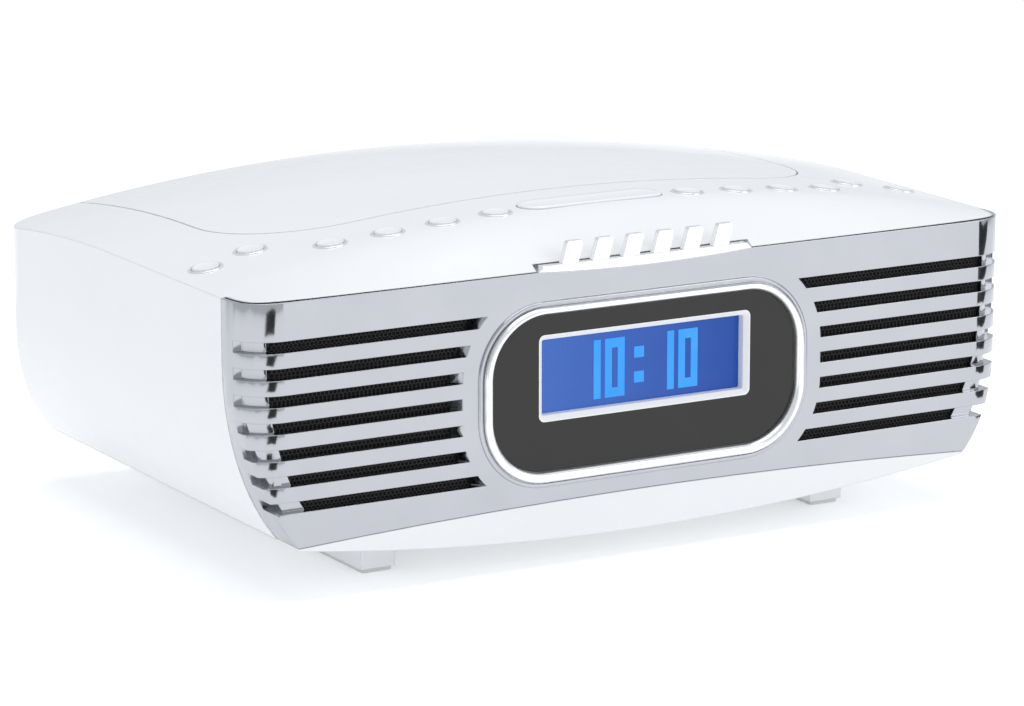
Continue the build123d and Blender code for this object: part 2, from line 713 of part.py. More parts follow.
# ---- lid -------------------------------------------------------------------------------------
lid_form = lid_block()
lid_under = under_top(WALL)
pivots = [(side * HINGE_X, HINGE_Y, HINGE_Z) for side in (-1, 1)]
with BuildPart() as lid_hangings:
    for pivot in pivots:
        with BuildSketch(Plane(pivot, x_dir=(0, 1, 0), z_dir=(1, 0, 0))):
            Circle(HINGE_BOSS_R)
            with Locations((-HINGE_REACH / 2, 0)):
                Rectangle(HINGE_REACH, HINGE_ARM_W)
            with Locations((-HINGE_REACH, (HINGE_ARM_H - HINGE_ARM_W) / 2)):
                Rectangle(HINGE_ARM_W, HINGE_ARM_H)
            Circle(HINGE_PIN_R + RUN_FIT, mode=Mode.SUBTRACT)
        extrude(amount=HINGE_ARM_T / 2, both=True)
    hook_end = DECK_Z - DECK_T - HOOK_DROP
    for hook_x in HOOK_XS:
        hook_back = HOOK_Y + HOOK_T / 2
        add(slab(HOOK_W, hook_back - HOOK_T, hook_back, hook_end, TALL, hook_x))
        add(slab(HOOK_W, hook_back - HOOK_T - HOOK_NIB, hook_back, hook_end, hook_end + 2, hook_x))
    holder_in = CLAMP_R + CLAMP_PLAY
    add(rod(holder_in + HOLDER_WALL, 0, DISC_Y, HOLDER_Z, TALL))
    add(rod(holder_in, 0, DISC_Y, HOLDER_Z + HOLDER_LIP_T, TALL), mode=Mode.SUBTRACT)
    add(rod(CLAMP_NECK_R + CLAMP_PLAY, 0, DISC_Y, HOLDER_Z - 1, TALL), mode=Mode.SUBTRACT)
    add(under_top(WALL / 2), mode=Mode.INTERSECT)
with BuildPart() as disc_lid:
    add(lid_form)
    add(case_form, mode=Mode.INTERSECT)
    add(lid_under, mode=Mode.SUBTRACT)
    add(lid_hangings.part)
save(disc_lid.part, "disc_lid")

clamp_seat = HOLDER_Z + HOLDER_LIP_T + CLAMP_LIFT
with BuildPart() as disc_clamp:
    add(rod(CLAMP_R - 1, 0, DISC_Y, clamp_seat, clamp_seat + CLAMP_DISC_T))
    add(rod(CLAMP_NECK_R, 0, DISC_Y, HOLDER_Z - 1, clamp_seat))
    add(rod(CLAMP_R, 0, DISC_Y, CLAMP_PAD_Z, HOLDER_Z - CLAMP_LIFT))
    pilot_room = rod(HUB_PILOT_R + PILOT_GAP, 0, DISC_Y, CLAMP_PAD_Z - 1, CLAMP_PAD_Z + 1.5)
    add(pilot_room, mode=Mode.SUBTRACT)
save(disc_clamp.part, "disc_clamp")

with BuildPart() as hinge_pins:
    for pivot in pivots:
        with BuildSketch(Plane(pivot, x_dir=(0, 1, 0), z_dir=(1, 0, 0))):
            Circle(HINGE_PIN_R)
        extrude(amount=EAR_MID + EAR_T / 2, both=True)
save(hinge_pins.part, "hinge_pins")

# ---- deck and disc drive ---------------------------------------------------------------------
deck_room = hull(WALL + SEAM)
with BuildPart() as deck_plate:
    add(lid_block(DECK_RIM_OUT))
    add(slab(WIDTH, FRONT, BACK, DECK_Z - DECK_T, DECK_Z), mode=Mode.INTERSECT)
with BuildPart() as deck_rim:
    add(lid_block(DECK_RIM_OUT))
    add(lid_block(DECK_RIM_IN), mode=Mode.SUBTRACT)
    add(slab(WIDTH, FRONT, BACK, DECK_Z - 1, TALL), mode=Mode.INTERSECT)
with BuildPart() as disc_deck:
    add(deck_plate.part)
    add(deck_rim.part)
    add(rod(WELL_R + 2, 0, DISC_Y, WELL_FLOOR_Z - 2, DECK_Z))
    add(rod(WELL_R, 0, DISC_Y, WELL_FLOOR_Z, DECK_Z + 1), mode=Mode.SUBTRACT)
    add(rod(HUB_R + 1, 0, DISC_Y, WELL_FLOOR_Z - 3, DECK_Z), mode=Mode.SUBTRACT)
    sled_slot = (DISC_Y - SLED_W / 2 - SLED_ROOM, DISC_Y + SLED_W / 2 + SLED_ROOM)
    slot_x = (SLED_START + SLED_END) / 2
    slot_l = SLED_END - SLED_START + 2 * SLED_ROOM
    add(slab(slot_l, *sled_slot, WELL_FLOOR_Z - 3, WELL_FLOOR_Z + 1, slot_x), mode=Mode.SUBTRACT)
    for side in (-1, 1):
        arm_room = (HINGE_Y - HINGE_REACH - 5, BACK)
        arm_w = HINGE_ARM_T + 2
        add(slab(arm_w, *arm_room, DECK_Z - 4, DECK_Z + 1, side * HINGE_X), mode=Mode.SUBTRACT)
        for offset in (-EAR_MID, EAR_MID):
            ear_x = side * HINGE_X + offset
            add(slab(EAR_T, HINGE_Y - 4, HINGE_Y + 4, HINGE_Z - 4, DECK_Z - DECK_T + 1, ear_x))
    for hook_x in HOOK_XS:
        add(slab(8, HOOK_Y - 3.4, HOOK_Y + 3.4, DECK_Z - 5, DECK_Z + 1, hook_x), mode=Mode.SUBTRACT)
    with BuildSketch(Plane.YZ.offset(-HALF)):
        with Locations((HINGE_Y, HINGE_Z)):
            Circle(HINGE_PIN_R)
    extrude(amount=WIDTH, mode=Mode.SUBTRACT)
    add(deck_room, mode=Mode.INTERSECT)
save(disc_deck.part, "disc_deck")

with BuildPart() as turntable:
    add(rod(HUB_R, 0, DISC_Y, DISC_Z - HUB_T, DISC_Z))
    add(rod(HUB_PILOT_R, 0, DISC_Y, DISC_Z, DISC_Z + PILOT_H))
    chamfer(turntable.faces().sort_by(Axis.Z)[-1].edges(), PILOT_CHAMFER)
    add(rod(SHAFT_R, 0, DISC_Y, DISC_Z - 5, DISC_Z + 5), mode=Mode.SUBTRACT)
save(turntable.part, "turntable")

shaft_low = CHASSIS_Z - SHAFT_SUNK
with BuildPart() as spindle_shaft:
    add(rod(SHAFT_R, 0, DISC_Y, shaft_low, DISC_Z + SHAFT_PROUD))
save(spindle_shaft.part, "spindle_shaft")

with BuildPart() as spindle_motor:
    add(rod(MOTOR_R, 0, DISC_Y, CHASSIS_Z - MOTOR_L, CHASSIS_Z))
    fillet(spindle_motor.edges().group_by(Axis.Z)[0], MOTOR_ROUND)
    add(rod(SHAFT_R + RUN_FIT, 0, DISC_Y, shaft_low - 0.5, CHASSIS_Z + 1), mode=Mode.SUBTRACT)
save(spindle_motor.part, "spindle_motor")

rod_ys = (DISC_Y - SLED_W / 2 + ROD_IN, DISC_Y + SLED_W / 2 - ROD_IN)
rod_z = CHASSIS_Z - ROD_DROP
rod_ends = (SLED_START - ROD_SPARE, SLED_END + ROD_SPARE)
with BuildPart() as guide_rods:
    for rod_y in rod_ys:
        with BuildSketch(Plane((rod_ends[0], rod_y, rod_z), x_dir=(0, 1, 0), z_dir=(1, 0, 0))):
            Circle(ROD_R)
        extrude(amount=rod_ends[1] - rod_ends[0])
save(guide_rods.part, "guide_rods")

with BuildPart() as drive_chassis:
    chassis_y = (DISC_Y - CHASSIS_D / 2, DISC_Y + CHASSIS_D / 2)
    add(slab(CHASSIS_W, *chassis_y, CHASSIS_Z, CHASSIS_Z + CHASSIS_T, CHASSIS_X))
    add(rod(4 * SHAFT_R, 0, DISC_Y, CHASSIS_Z - 1, CHASSIS_Z + 3), mode=Mode.SUBTRACT)
    add(slab(slot_l, *sled_slot, CHASSIS_Z - 1, CHASSIS_Z + 3, slot_x), mode=Mode.SUBTRACT)
    lug_y = (DISC_Y - SLED_W / 2, DISC_Y + SLED_W / 2)
    for lug_x in (rod_ends[0] + LUG_T / 2, rod_ends[1] - LUG_T / 2):
        add(slab(LUG_T, *lug_y, CHASSIS_Z - LUG_H, CHASSIS_Z + CHASSIS_T, lug_x))
    add(guide_rods.part, mode=Mode.SUBTRACT)
save(drive_chassis.part, "drive_chassis")

with BuildPart() as laser_sled:
    sled_x = SLED_START + SLED_L / 2
    sled_top = CHASSIS_Z + CHASSIS_T + 1
    add(slab(SLED_L, *lug_y, CHASSIS_Z - LUG_H, sled_top, sled_x))
    add(rod(LENS_BARREL_R, sled_x, DISC_Y, sled_top, WELL_FLOOR_Z))
    with BuildSketch(Plane.YZ):
        with Locations(*[(rod_y, rod_z) for rod_y in rod_ys]):
            Circle(ROD_R + RUN_FIT)
    extrude(amount=HALF, mode=Mode.SUBTRACT)
save(laser_sled.part, "laser_sled")

with BuildPart() as laser_lens:
    add(rod(LENS_R, sled_x, DISC_Y, WELL_FLOOR_Z, WELL_FLOOR_Z + LENS_T))
    fillet(laser_lens.edges().group_by(Axis.Z)[-1], 1.0)
save(laser_lens.part, "laser_lens")

with BuildPart() as drive_grommets:
    for grommet_x in GROMMET_XS:
        for grommet_y in (chassis_y[0] + GROMMET_IN, chassis_y[1] - GROMMET_IN):
            add(rod(GROMMET_R, grommet_x, grommet_y, CHASSIS_Z + CHASSIS_T, WELL_FLOOR_Z - 2))
save(drive_grommets.part, "drive_grommets")

# ---- electronics and sockets -------------------------------------------------------------------
with BuildPart() as main_board:
    main_y = [FRONT + run for run in BOARD_RUN]
    add(slab(BOARD_W, *main_y, BOARD_Z, BOARD_Z + BOARD_T))
save(main_board.part, "main_board")

board_top = BOARD_Z + BOARD_T
with BuildPart() as heat_sink:
    sink_y = [FRONT + run for run in SINK_RUN]
    add(slab(SINK_W, *sink_y, board_top, board_top + SINK_BASE_T, SINK_X))
    for fin in range(FIN_COUNT):
        fin_y = sink_y[0] + FIN_T + fin * FIN_PITCH
        fin_ends = (fin_y - FIN_T / 2, fin_y + FIN_T / 2)
        add(slab(SINK_W, *fin_ends, board_top + 2, board_top + FIN_H, SINK_X))
save(heat_sink.part, "heat_sink")

with BuildPart() as tuner_can:
    can_y = [FRONT + run for run in CAN_RUN]
    add(slab(CAN_W, *can_y, board_top, board_top + CAN_H, CAN_X))
    fillet(tuner_can.edges().filter_by(Axis.Z), CAN_ROUND)
save(tuner_can.part, "tuner_can")


def socket(jack_x, jack_r, bore_r, proud, name):
    """Round socket through the rear wall, open to the rear."""
    with BuildPart() as barrel:
        with BuildSketch(Plane((jack_x, BACK + proud, JACK_Z), x_dir=(-1, 0, 0), z_dir=(0, 1, 0))):
            Circle(jack_r)
        extrude(amount=-JACK_L)
        with BuildSketch(Plane((jack_x, BACK - WALL, JACK_Z), x_dir=(-1, 0, 0), z_dir=(0, 1, 0))):
            Circle(jack_r + JACK_COLLAR)
        extrude(amount=-JACK_COLLAR)
        with BuildSketch(Plane((jack_x, BACK + proud, JACK_Z), x_dir=(-1, 0, 0), z_dir=(0, 1, 0))):
            Circle(bore_r)
        extrude(amount=-JACK_BORE_L, mode=Mode.SUBTRACT)
    save(barrel.part, name)


for (jack_x, jack_r), (bore_r, proud, name) in zip(JACKS, JACK_BORES):
    socket(jack_x, jack_r, bore_r, proud, name)
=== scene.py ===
import math

import bmesh
import bpy
from mathutils import Matrix, Vector


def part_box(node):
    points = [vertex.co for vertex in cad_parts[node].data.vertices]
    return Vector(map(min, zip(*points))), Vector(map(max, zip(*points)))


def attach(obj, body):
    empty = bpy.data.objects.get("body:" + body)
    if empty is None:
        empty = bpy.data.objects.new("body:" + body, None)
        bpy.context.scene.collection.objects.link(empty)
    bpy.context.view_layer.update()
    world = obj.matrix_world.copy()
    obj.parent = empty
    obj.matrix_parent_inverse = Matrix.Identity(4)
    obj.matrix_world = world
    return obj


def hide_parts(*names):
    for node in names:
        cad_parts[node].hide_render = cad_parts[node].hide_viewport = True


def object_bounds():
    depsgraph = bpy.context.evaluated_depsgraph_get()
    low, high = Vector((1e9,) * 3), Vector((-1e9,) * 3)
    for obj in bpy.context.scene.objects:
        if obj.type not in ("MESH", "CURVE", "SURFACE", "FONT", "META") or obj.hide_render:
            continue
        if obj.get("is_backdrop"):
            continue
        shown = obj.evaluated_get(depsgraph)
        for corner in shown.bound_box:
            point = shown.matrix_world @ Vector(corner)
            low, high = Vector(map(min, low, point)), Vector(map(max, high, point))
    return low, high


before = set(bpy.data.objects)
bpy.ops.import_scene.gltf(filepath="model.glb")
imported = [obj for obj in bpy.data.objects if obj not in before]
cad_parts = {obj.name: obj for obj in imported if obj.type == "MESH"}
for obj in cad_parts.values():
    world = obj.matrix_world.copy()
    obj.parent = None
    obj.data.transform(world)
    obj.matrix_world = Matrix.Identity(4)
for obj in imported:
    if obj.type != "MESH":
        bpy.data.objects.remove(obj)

cad_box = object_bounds()

# ---- lower tray ----------------------------------------------------------------------------------
# The lower half of the case is one shallow tray, injection moulded in glossy white ABS.
# Two runners are moulded under it, and four screws pull it up against the cover.


class Wire:
    """Output of a shader node. Arithmetic on it adds Math nodes to its tree."""

    def __init__(self, socket):
        self.socket = socket

    def add(self, kind, settings=None, inputs=None, output=0):
        """Any other node: its settings first, then the values or wires of its sockets."""
        made = self.socket.id_data.nodes.new("ShaderNode" + kind)
        for key, value in (settings or {}).items():
            setattr(made, key, value)
        for key, value in (inputs or {}).items():
            if isinstance(value, Wire):
                self.socket.id_data.links.new(value.socket, made.inputs[key])
            else:
                made.inputs[key].default_value = value
        return Wire(made.outputs[output])

    def maths(self, operation, *others):
        """Math node with this value first."""
        inputs = dict(enumerate((self, *others)))
        return self.add("Math", {"operation": operation}, inputs)

    def __add__(self, other):
        return self.maths("ADD", other)

    def __sub__(self, other):
        return self.maths("SUBTRACT", other)

    def __rsub__(self, other):
        return self.add("Math", {"operation": "SUBTRACT"}, {0: other, 1: self})

    def __mul__(self, other):
        return self.maths("MULTIPLY", other)

    def __truediv__(self, other):
        return self.maths("DIVIDE", other)

    def __lt__(self, other):
        return self.maths("LESS_THAN", other)

    __radd__ = __add__
    __rmul__ = __mul__

    def axis(self, letter):
        """One coordinate of this place."""
        return self.add("SeparateXYZ", None, {0: self}, "XYZ".index(letter))

    def noise(self, size, detail=3.0, stretch=(1, 1, 1)):
        """Mottle from 0 to 1 whose blotches are about this many metres across."""
        scaled = self.add("VectorMath", {"operation": "MULTIPLY"}, {0: self, 1: stretch})
        return self.add("TexNoise", None, {"Vector": scaled, "Scale": 1 / size, "Detail": detail})

    def between(self, low, high):
        """Value turned from 0..1 into low..high."""
        return self * (high - low) + low

    def blend(self, first, second):
        """Colour that goes from the first to the second as this value goes from 0 to 1."""
        first = (*first, 1.0) if isinstance(first, tuple) else first
        second = (*second, 1.0) if isinstance(second, tuple) else second
        from_socket, to_socket, mixed = 6, 7, 2  # where a Mix node keeps its colours
        inputs = {0: self, from_socket: first, to_socket: second}
        return self.add("Mix", {"data_type": "RGBA"}, inputs, mixed)

    def relief(self, depth, edge=0.0):
        """Surface normal of this height, with edges rounded to a radius in metres."""
        inputs = {"Height": self, "Distance": depth, "Strength": 1.0}
        if edge:
            inputs["Normal"] = self.add("Bevel", {"samples": 6}, {"Radius": edge})
        return self.add("Bump", None, inputs)


def finish(name, varying, **constants):
    """Material from a function of the place that returns wires by the shader's socket."""
    material = bpy.data.materials.new(name)
    material.use_nodes = True
    tree = material.node_tree
    shader = tree.nodes["Principled BSDF"]
    for key, value in constants.items():
        shader.inputs[key.replace("_", " ")].default_value = value
    place = Wire(tree.nodes.new("ShaderNodeTexCoord").outputs["Object"])
    for key, wire in varying(place).items():
        tree.links.new(wire.socket, shader.inputs[key.replace("_", " ")])
    return material


def dress(material, *names):
    """Gives CAD nodes their finish."""
    for name in names:
        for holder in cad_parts[name].material_slots:
            holder.material = material


def gloss_white(place):
    mottle = place.noise(0.05)
    peel = place.noise(0.0016, 2.0)
    return {
        "Base_Color": mottle.blend((0.82, 0.832, 0.85), (0.855, 0.865, 0.877)),
        "Roughness": place.noise(0.012).between(0.18, 0.30),
        "Normal": peel.relief(0.000012, 0.0006),
    }


white_shell = finish("gloss_white_shell", gloss_white, Coat_Weight=0.35, Coat_Roughness=0.08)
dress(white_shell, "base_tray")

# ---- feet ----------------------------------------------------------------------------------------
# Four pads of soft white rubber are pressed onto the runners, two on each.  They are ribbed
# across so that they grip the table.

RIB_WAVE = 2600.0  # radians of the ribs' wave in a metre: a rib every 2.4 mm
WELD_GAP = 1e-6  # points of a CAD mesh closer than this are one
CREASE = math.radians(38)  # edges that turn more than this are rounded


def ribbed_rubber(place):
    ribs = (place.axis("Y") * RIB_WAVE).maths("SINE")
    dust = place.noise(0.004)
    return {
        "Base_Color": dust.blend((0.62, 0.62, 0.61), (0.74, 0.74, 0.73)),
        "Roughness": dust.between(0.65, 0.85),
        "Normal": (ribs * 0.5 + dust * 0.4).relief(0.0002, 0.0004),
    }


def smooth_edges(width, *names):
    """Rounds the sharp edges of CAD nodes."""
    for name in names:
        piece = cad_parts[name]
        weld = piece.modifiers.new("weld", "WELD")
        weld.merge_threshold = WELD_GAP
        bevel = piece.modifiers.new("rounding", "BEVEL")
        bevel.width = width
        bevel.segments = 3
        bevel.limit_method = "ANGLE"
        bevel.angle_limit = CREASE
        bevel.harden_normals = True


dress(finish("white_rubber", ribbed_rubber), "rubber_feet")
smooth_edges(0.0004, "rubber_feet")

# ---- cover ---------------------------------------------------------------------------------------
# The domed cover is one thin moulding in the same white ABS as the tray.  Its top bulges
# behind the chrome front, stays level and then falls away towards the back.

dress(white_shell, "top_case")

# ---- screws --------------------------------------------------------------------------------------
# Four pan head screws come up through the tray into posts of the cover.  They are steel with a
# bright zinc plating.


def plated_steel(place):
    streaks = place.noise(0.0008, 2.0, (1, 1, 0.15))
    return {
        "Base_Color": streaks.blend((0.50, 0.51, 0.52), (0.62, 0.62, 0.63)),
        "Roughness": streaks.between(0.25, 0.45),
        "Normal": streaks.relief(0.00001, 0.0002),
    }


steel = finish("plated_steel", plated_steel, Metallic=1.0)
dress(steel, "case_screws")
smooth_edges(0.0002, "case_screws")

# ---- loudspeakers --------------------------------------------------------------------------------
# Each loudspeaker has a pressed steel basket, a black paper cone with a rubber roll round it
# and a ferrite ring magnet.  They sit close behind the front.

SAME_POINT = 1e-7  # points of a new mesh closer than this are one
# Radius and depth behind the mouth, from the cone's neck out along its back, over the rubber
# roll and in again to the middle of the dust cap.
CONE_SECTION = (
    (0.0095, 0.0120),
    (0.0098, 0.0112),
    (0.0257, 0.0010),
    (0.0257, 0.0003),
    (0.0250, 0.0000),
    (0.0238, 0.0000),
    (0.0228, 0.0006),
    (0.0221, 0.0020),
    (0.0130, 0.0084),
    (0.0094, 0.0106),
    (0.0088, 0.0102),
    (0.0070, 0.0090),
    (0.0040, 0.0081),
    (0.0005, 0.0079),
)


def paper_cone(place):
    fibre = place.noise(0.0012, 5.0)
    return {
        "Base_Color": fibre.blend((0.010, 0.010, 0.011), (0.03, 0.03, 0.032)),
        "Roughness": fibre.between(0.75, 0.95),
        "Normal": fibre.relief(0.0001),
    }


def ferrite(place):
    grit = place.noise(0.0009, 4.0)
    return {
        "Base_Color": grit.blend((0.05, 0.05, 0.055), (0.11, 0.11, 0.115)),
        "Roughness": grit.between(0.5, 0.7),
        "Normal": grit.relief(0.00005, 0.0005),
    }


def skin_of(name, loops, material, body, joined=False, capped=(), sharp=34):
    """Mesh piece through loops of equal count that rides on a body.

    A joined piece closes on its first loop, and a capped one has faces over the loops named.
    Edges that turn more than the sharp angle, in degrees, are not smoothed over.
    """
    mesh = bmesh.new()
    rows = [[mesh.verts.new(point) for point in loop] for loop in loops]
    pairs = list(zip(rows, rows[1:]))
    if joined:
        pairs.append((rows[-1], rows[0]))
    for near, far in pairs:
        for k in range(len(near)):
            after = (k + 1) % len(near)
            mesh.faces.new((near[k], near[after], far[after], far[k]))
    for index in capped:
        mesh.faces.new(rows[index])
    bmesh.ops.remove_doubles(mesh, verts=mesh.verts, dist=SAME_POINT)
    bmesh.ops.recalc_face_normals(mesh, faces=mesh.faces)
    for face in mesh.faces:
        face.smooth = True
    for edge in mesh.edges:
        edge.smooth = edge.calc_face_angle(0.0) < math.radians(sharp)
    data = bpy.data.meshes.new(name)
    mesh.to_mesh(data)
    mesh.free()
    data.materials.append(material)
    piece = bpy.data.objects.new(name, data)
    bpy.context.scene.collection.objects.link(piece)
    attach(piece, body)
    return piece


def turned(name, section, centre, along, material, body, capped=(0, -1), steps=56):
    """Round piece through (radius, distance along the axis) pairs, measured from its centre."""
    along = Vector(along)
    aside = along.orthogonal().normalized()
    other = along.cross(aside)
    turns = [2 * math.pi * k / steps for k in range(steps)]
    loops = []
    for radius, distance in section:
        middle = Vector(centre) + along * distance
        loops.append([middle + radius * (math.cos(t) * aside + math.sin(t) * other) for t in turns])
    return skin_of(name, loops, material, body, joined=not capped, capped=capped)


cone_paper = finish("black_paper", paper_cone)
ferrite_grey = finish("ferrite", ferrite)
for side in ("left", "right"):
    dress(steel, f"speaker_basket_{side}")
    dress(ferrite_grey, f"speaker_magnet_{side}")
    low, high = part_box(f"speaker_cone_{side}")
    mouth = ((low.x + high.x) / 2, low.y, (low.z + high.z) / 2)
    cone = turned(f"cone_and_dust_cap_{side}", CONE_SECTION, mouth, (0, 1, 0), cone_paper, "case")
    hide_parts(f"speaker_cone_{side}")

# ---- grille mesh ---------------------------------------------------------------------------------
# A sheet of perforated black steel lies behind the slots of the front and hides the speakers.
# Its round holes stand in staggered rows.

HOLE_PITCH = 0.0015
ROW_PITCH = HOLE_PITCH * math.sqrt(3)
HOLE_R = 0.0005
PUNCHED_R = 0.0007  # outer edge of the dip that the punch leaves round a hole


def perforated(place):
    run = (place.axis("X") + place.axis("Y")) / HOLE_PITCH
    rise = place.axis("Z") / ROW_PITCH

    def from_hole(shift):
        across = ((run + shift).maths("FRACT") - 0.5) * HOLE_PITCH
        up = ((rise + shift).maths("FRACT") - 0.5) * ROW_PITCH
        return (across * across + up * up).maths("SQRT")

    nearest = from_hole(0.0).maths("MINIMUM", from_hole(0.5))
    edge = {"Value": nearest, "From Min": HOLE_R, "From Max": PUNCHED_R}
    metal = nearest.add("MapRange", None, edge)
    return {
        "Base_Color": metal.blend((0.001, 0.001, 0.001), (0.028, 0.028, 0.030)),
        "Roughness": metal.between(0.9, 0.42),
        "Normal": metal.relief(0.0003),
    }


dress(finish("perforated_black", perforated), "grille_mesh_left", "grille_mesh_right")

# ---- chrome front --------------------------------------------------------------------------------
# The front is an ABS moulding plated in satin chrome.  Seven slots on each side let the sound
# out, and run on as shallow grooves round the corners.


def satin_chrome(place):
    haze = place.noise(0.02)
    fine = place.noise(0.0006, 2.0)
    return {
        "Base_Color": haze.blend((0.46, 0.47, 0.50), (0.53, 0.535, 0.565)),
        "Roughness": haze.between(0.10, 0.16),
        "Normal": fine.relief(0.000004, 0.0004),
    }


chrome = finish("satin_chrome", satin_chrome, Metallic=1.0)
dress(chrome, "front_grille")
smooth_edges(0.0006, "front_grille")

# ---- display ring and window ---------------------------------------------------------------------
# A bright ring stands round the window.  The window is a smoked acrylic plate with an opening
# for the clock panel, let in behind the ring's inner edge.


def oblong(width, height, radius, depth, steps=16):
    """Points of a rounded oblong that faces the front, at this depth."""
    points = []
    for turn, (sx, sz) in enumerate(((1, 1), (-1, 1), (-1, -1), (1, -1))):
        for k in range(steps + 1):
            angle = math.pi / 2 * (turn + k / steps)
            x = sx * (width / 2 - radius) + radius * math.cos(angle)
            z = sz * (height / 2 - radius) + radius * math.sin(angle)
            points.append(Vector((x, depth, z)))
    return points


ring_low, ring_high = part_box("display_ring")
ring_w = ring_high.x - ring_low.x
ring_h = ring_high.z - ring_low.z
ring_z = (ring_high.z + ring_low.z) / 2
RING_WIDE = 0.0033
RING_INNER = 0.0021  # inset of the sleeve that reaches back behind the ring
RING_DEEP = 0.0072
RING_CORNER = 0.0233
WINDOW_RISE = 0.0005
# Inset from the ring's outer edge and depth behind its front, from the back of its outer edge
# over the rounded front and round behind.
RING_SECTION = (
    (0.0, 0.0026),
    (0.0, 0.0016),
    (0.0002, 0.0008),
    (0.0007, 0.0002),
    (0.0014, 0.0),
    (0.0022, 0.0001),
    (0.0028, 0.0006),
    (RING_WIDE, 0.0018),
    (RING_WIDE, RING_DEEP),
    (RING_INNER, RING_DEEP),
    (RING_INNER, 0.0026),
)


def ring_loop(inset, depth):
    """Loop of the ring at this inset.  Its inner edge stands higher than its outer one."""
    width = ring_w - 2 * inset
    height = ring_h - 2 * inset
    loop = oblong(width, height, RING_CORNER - inset, ring_low.y + depth)
    rise = WINDOW_RISE * inset / RING_WIDE
    return [point + Vector((0, 0, ring_z + rise)) for point in loop]


def bright_chrome(place):
    haze = place.noise(0.015)
    return {
        "Base_Color": haze.blend((0.90, 0.905, 0.915), (0.94, 0.945, 0.95)),
        "Roughness": haze.between(0.20, 0.28),
        "Normal": place.noise(0.0006, 2.0).relief(0.000003, 0.0003),
    }


polished = finish("bright_chrome", bright_chrome, Metallic=1.0)
ring_loops = [ring_loop(inset, depth) for inset, depth in RING_SECTION]
ring = skin_of("display_ring_polished", ring_loops, polished, "case", joined=True)
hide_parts("display_ring")


def smoked_acrylic(place):
    cloud = place.noise(0.03)
    return {
        "Base_Color": cloud.blend((0.007, 0.007, 0.005), (0.012, 0.012, 0.009)),
        "Roughness": place.noise(0.008).between(0.05, 0.09),
        "Normal": place.noise(0.02).relief(0.00002, 0.0003),
    }


dress(finish("smoked_acrylic", smoked_acrylic, IOR=1.49), "display_glass")

# ---- clock panel ---------------------------------------------------------------------------------
# The clock panel is a blue liquid crystal cell lit from behind, held in a pale bevelled frame.
# Its figures are bright segments on the glass, and a green board behind it drives them.


def pale_frame(place):
    grain = place.noise(0.0009, 3.0)
    return {
        "Base_Color": grain.blend((0.84, 0.84, 0.83), (0.90, 0.90, 0.89)),
        "Roughness": grain.between(0.35, 0.5),
        "Normal": grain.relief(0.00002, 0.0002),
    }


PANEL_CELL = 0.0008
CELL_LINE = 0.06  # share of a cell that is the dark line between cells
LEFT_SHEEN_SHARE = 0.75  # share of the glow that is a painted sheen, bright at the left and fading to the right
TRACK_CELLS = 260.0  # cells of a board's pattern in a metre
TRACKS_IN_CELL = 4.0
TRACK_SHARE = 0.45


def lit_blue(place):
    low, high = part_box("lcd_panel")
    across = (place.axis("X") - low.x) / (high.x - low.x)
    # The glow is the panel's own backlight, uneven at random, plus a painted sheen that is
    # brightest at the left and fades to the right.
    glow = place.noise(0.03) * (1 - LEFT_SHEEN_SHARE) + (1 - across) * LEFT_SHEEN_SHARE
    column = (place.axis("X") / PANEL_CELL).maths("FRACT")
    row = (place.axis("Z") / PANEL_CELL).maths("FRACT")
    grid = (column < CELL_LINE).maths("MAXIMUM", row < CELL_LINE)
    blue = glow.blend((0.008, 0.045, 0.28), (0.09, 0.21, 0.60))
    return {
        "Base_Color": grid.blend((0.010, 0.03, 0.14), (0.008, 0.02, 0.10)),
        "Emission_Color": grid.blend(blue, (0.02, 0.08, 0.45)),
        "Roughness": place.noise(0.004).between(0.06, 0.12),
    }


def lit_figures(place):
    glow = place.noise(0.01)
    return {
        "Base_Color": glow.blend((0.02, 0.14, 0.40), (0.03, 0.17, 0.45)),
        "Emission_Color": glow.blend((0.025, 0.25, 0.78), (0.05, 0.32, 0.88)),
        "Roughness": glow.between(0.2, 0.3),
    }


def green_board(place):
    pattern = {"Vector": place, "Scale": TRACK_CELLS}
    tracks = place.add("TexVoronoi", {"distance": "MANHATTAN"}, pattern)
    copper = (tracks * TRACKS_IN_CELL).maths("FRACT") < TRACK_SHARE
    return {
        "Base_Color": copper.blend((0.010, 0.070, 0.022), (0.022, 0.13, 0.045)),
        "Roughness": place.noise(0.003).between(0.28, 0.42),
        "Normal": copper.relief(0.00003, 0.0002),
    }


panel_blue = finish("lit_blue", lit_blue, Emission_Strength=0.75, Specular_IOR_Level=0.15)
figures = finish("lit_figures", lit_figures, Emission_Strength=0.8, Specular_IOR_Level=0.15)
board_green = finish("solder_resist", green_board)
dress(finish("pale_frame", pale_frame), "lcd_frame")
dress(panel_blue, "lcd_panel")
dress(figures, "clock_digits")
dress(board_green, "display_board")

# ---- ornament ------------------------------------------------------------------------------------
# Six leaning tabs stand on a small curved plinth, which is let into the middle of the front's
# top edge.  Both are ABS with a brighter plating than the front's.

dress(polished, "ornament_tabs", "ornament_plinth")
smooth_edges(0.0004, "ornament_tabs", "ornament_plinth")

# ---- keys and snooze bar -------------------------------------------------------------------------
# Twelve round keys stand in thin chromed rings on the top, six each side of the long snooze
# bar.  They are white ABS, slightly dished, and press switches on a board below.

HALF = cad_box[1][0]
DEPTH = 0.194
FRONT = -DEPTH / 2
RIM_Z = 0.1013  # height of the cover's top at its rim
CROWN = 0.0147  # rise of its middle over the rim
FOREHEAD = 0.032  # run from the front over which it rises
LEVEL_RUN = 0.1  # run from the front to where it begins to fall
REAR_FALL = 0.007  # fall from there to the back
KEY_R = 0.0045
STEM_R = 0.00198
STEM_LONG = 0.001
# Share of the key's radius and height over the cover, from the middle of the dish outwards.
KEY_SECTION = (
    (0.1, 0.00045),
    (0.5, 0.0005),
    (0.8, 0.0007),
    (0.9, 0.00085),
    (0.95, 0.0009),
    (0.985, 0.00075),
    (1.0, 0.0004),
)
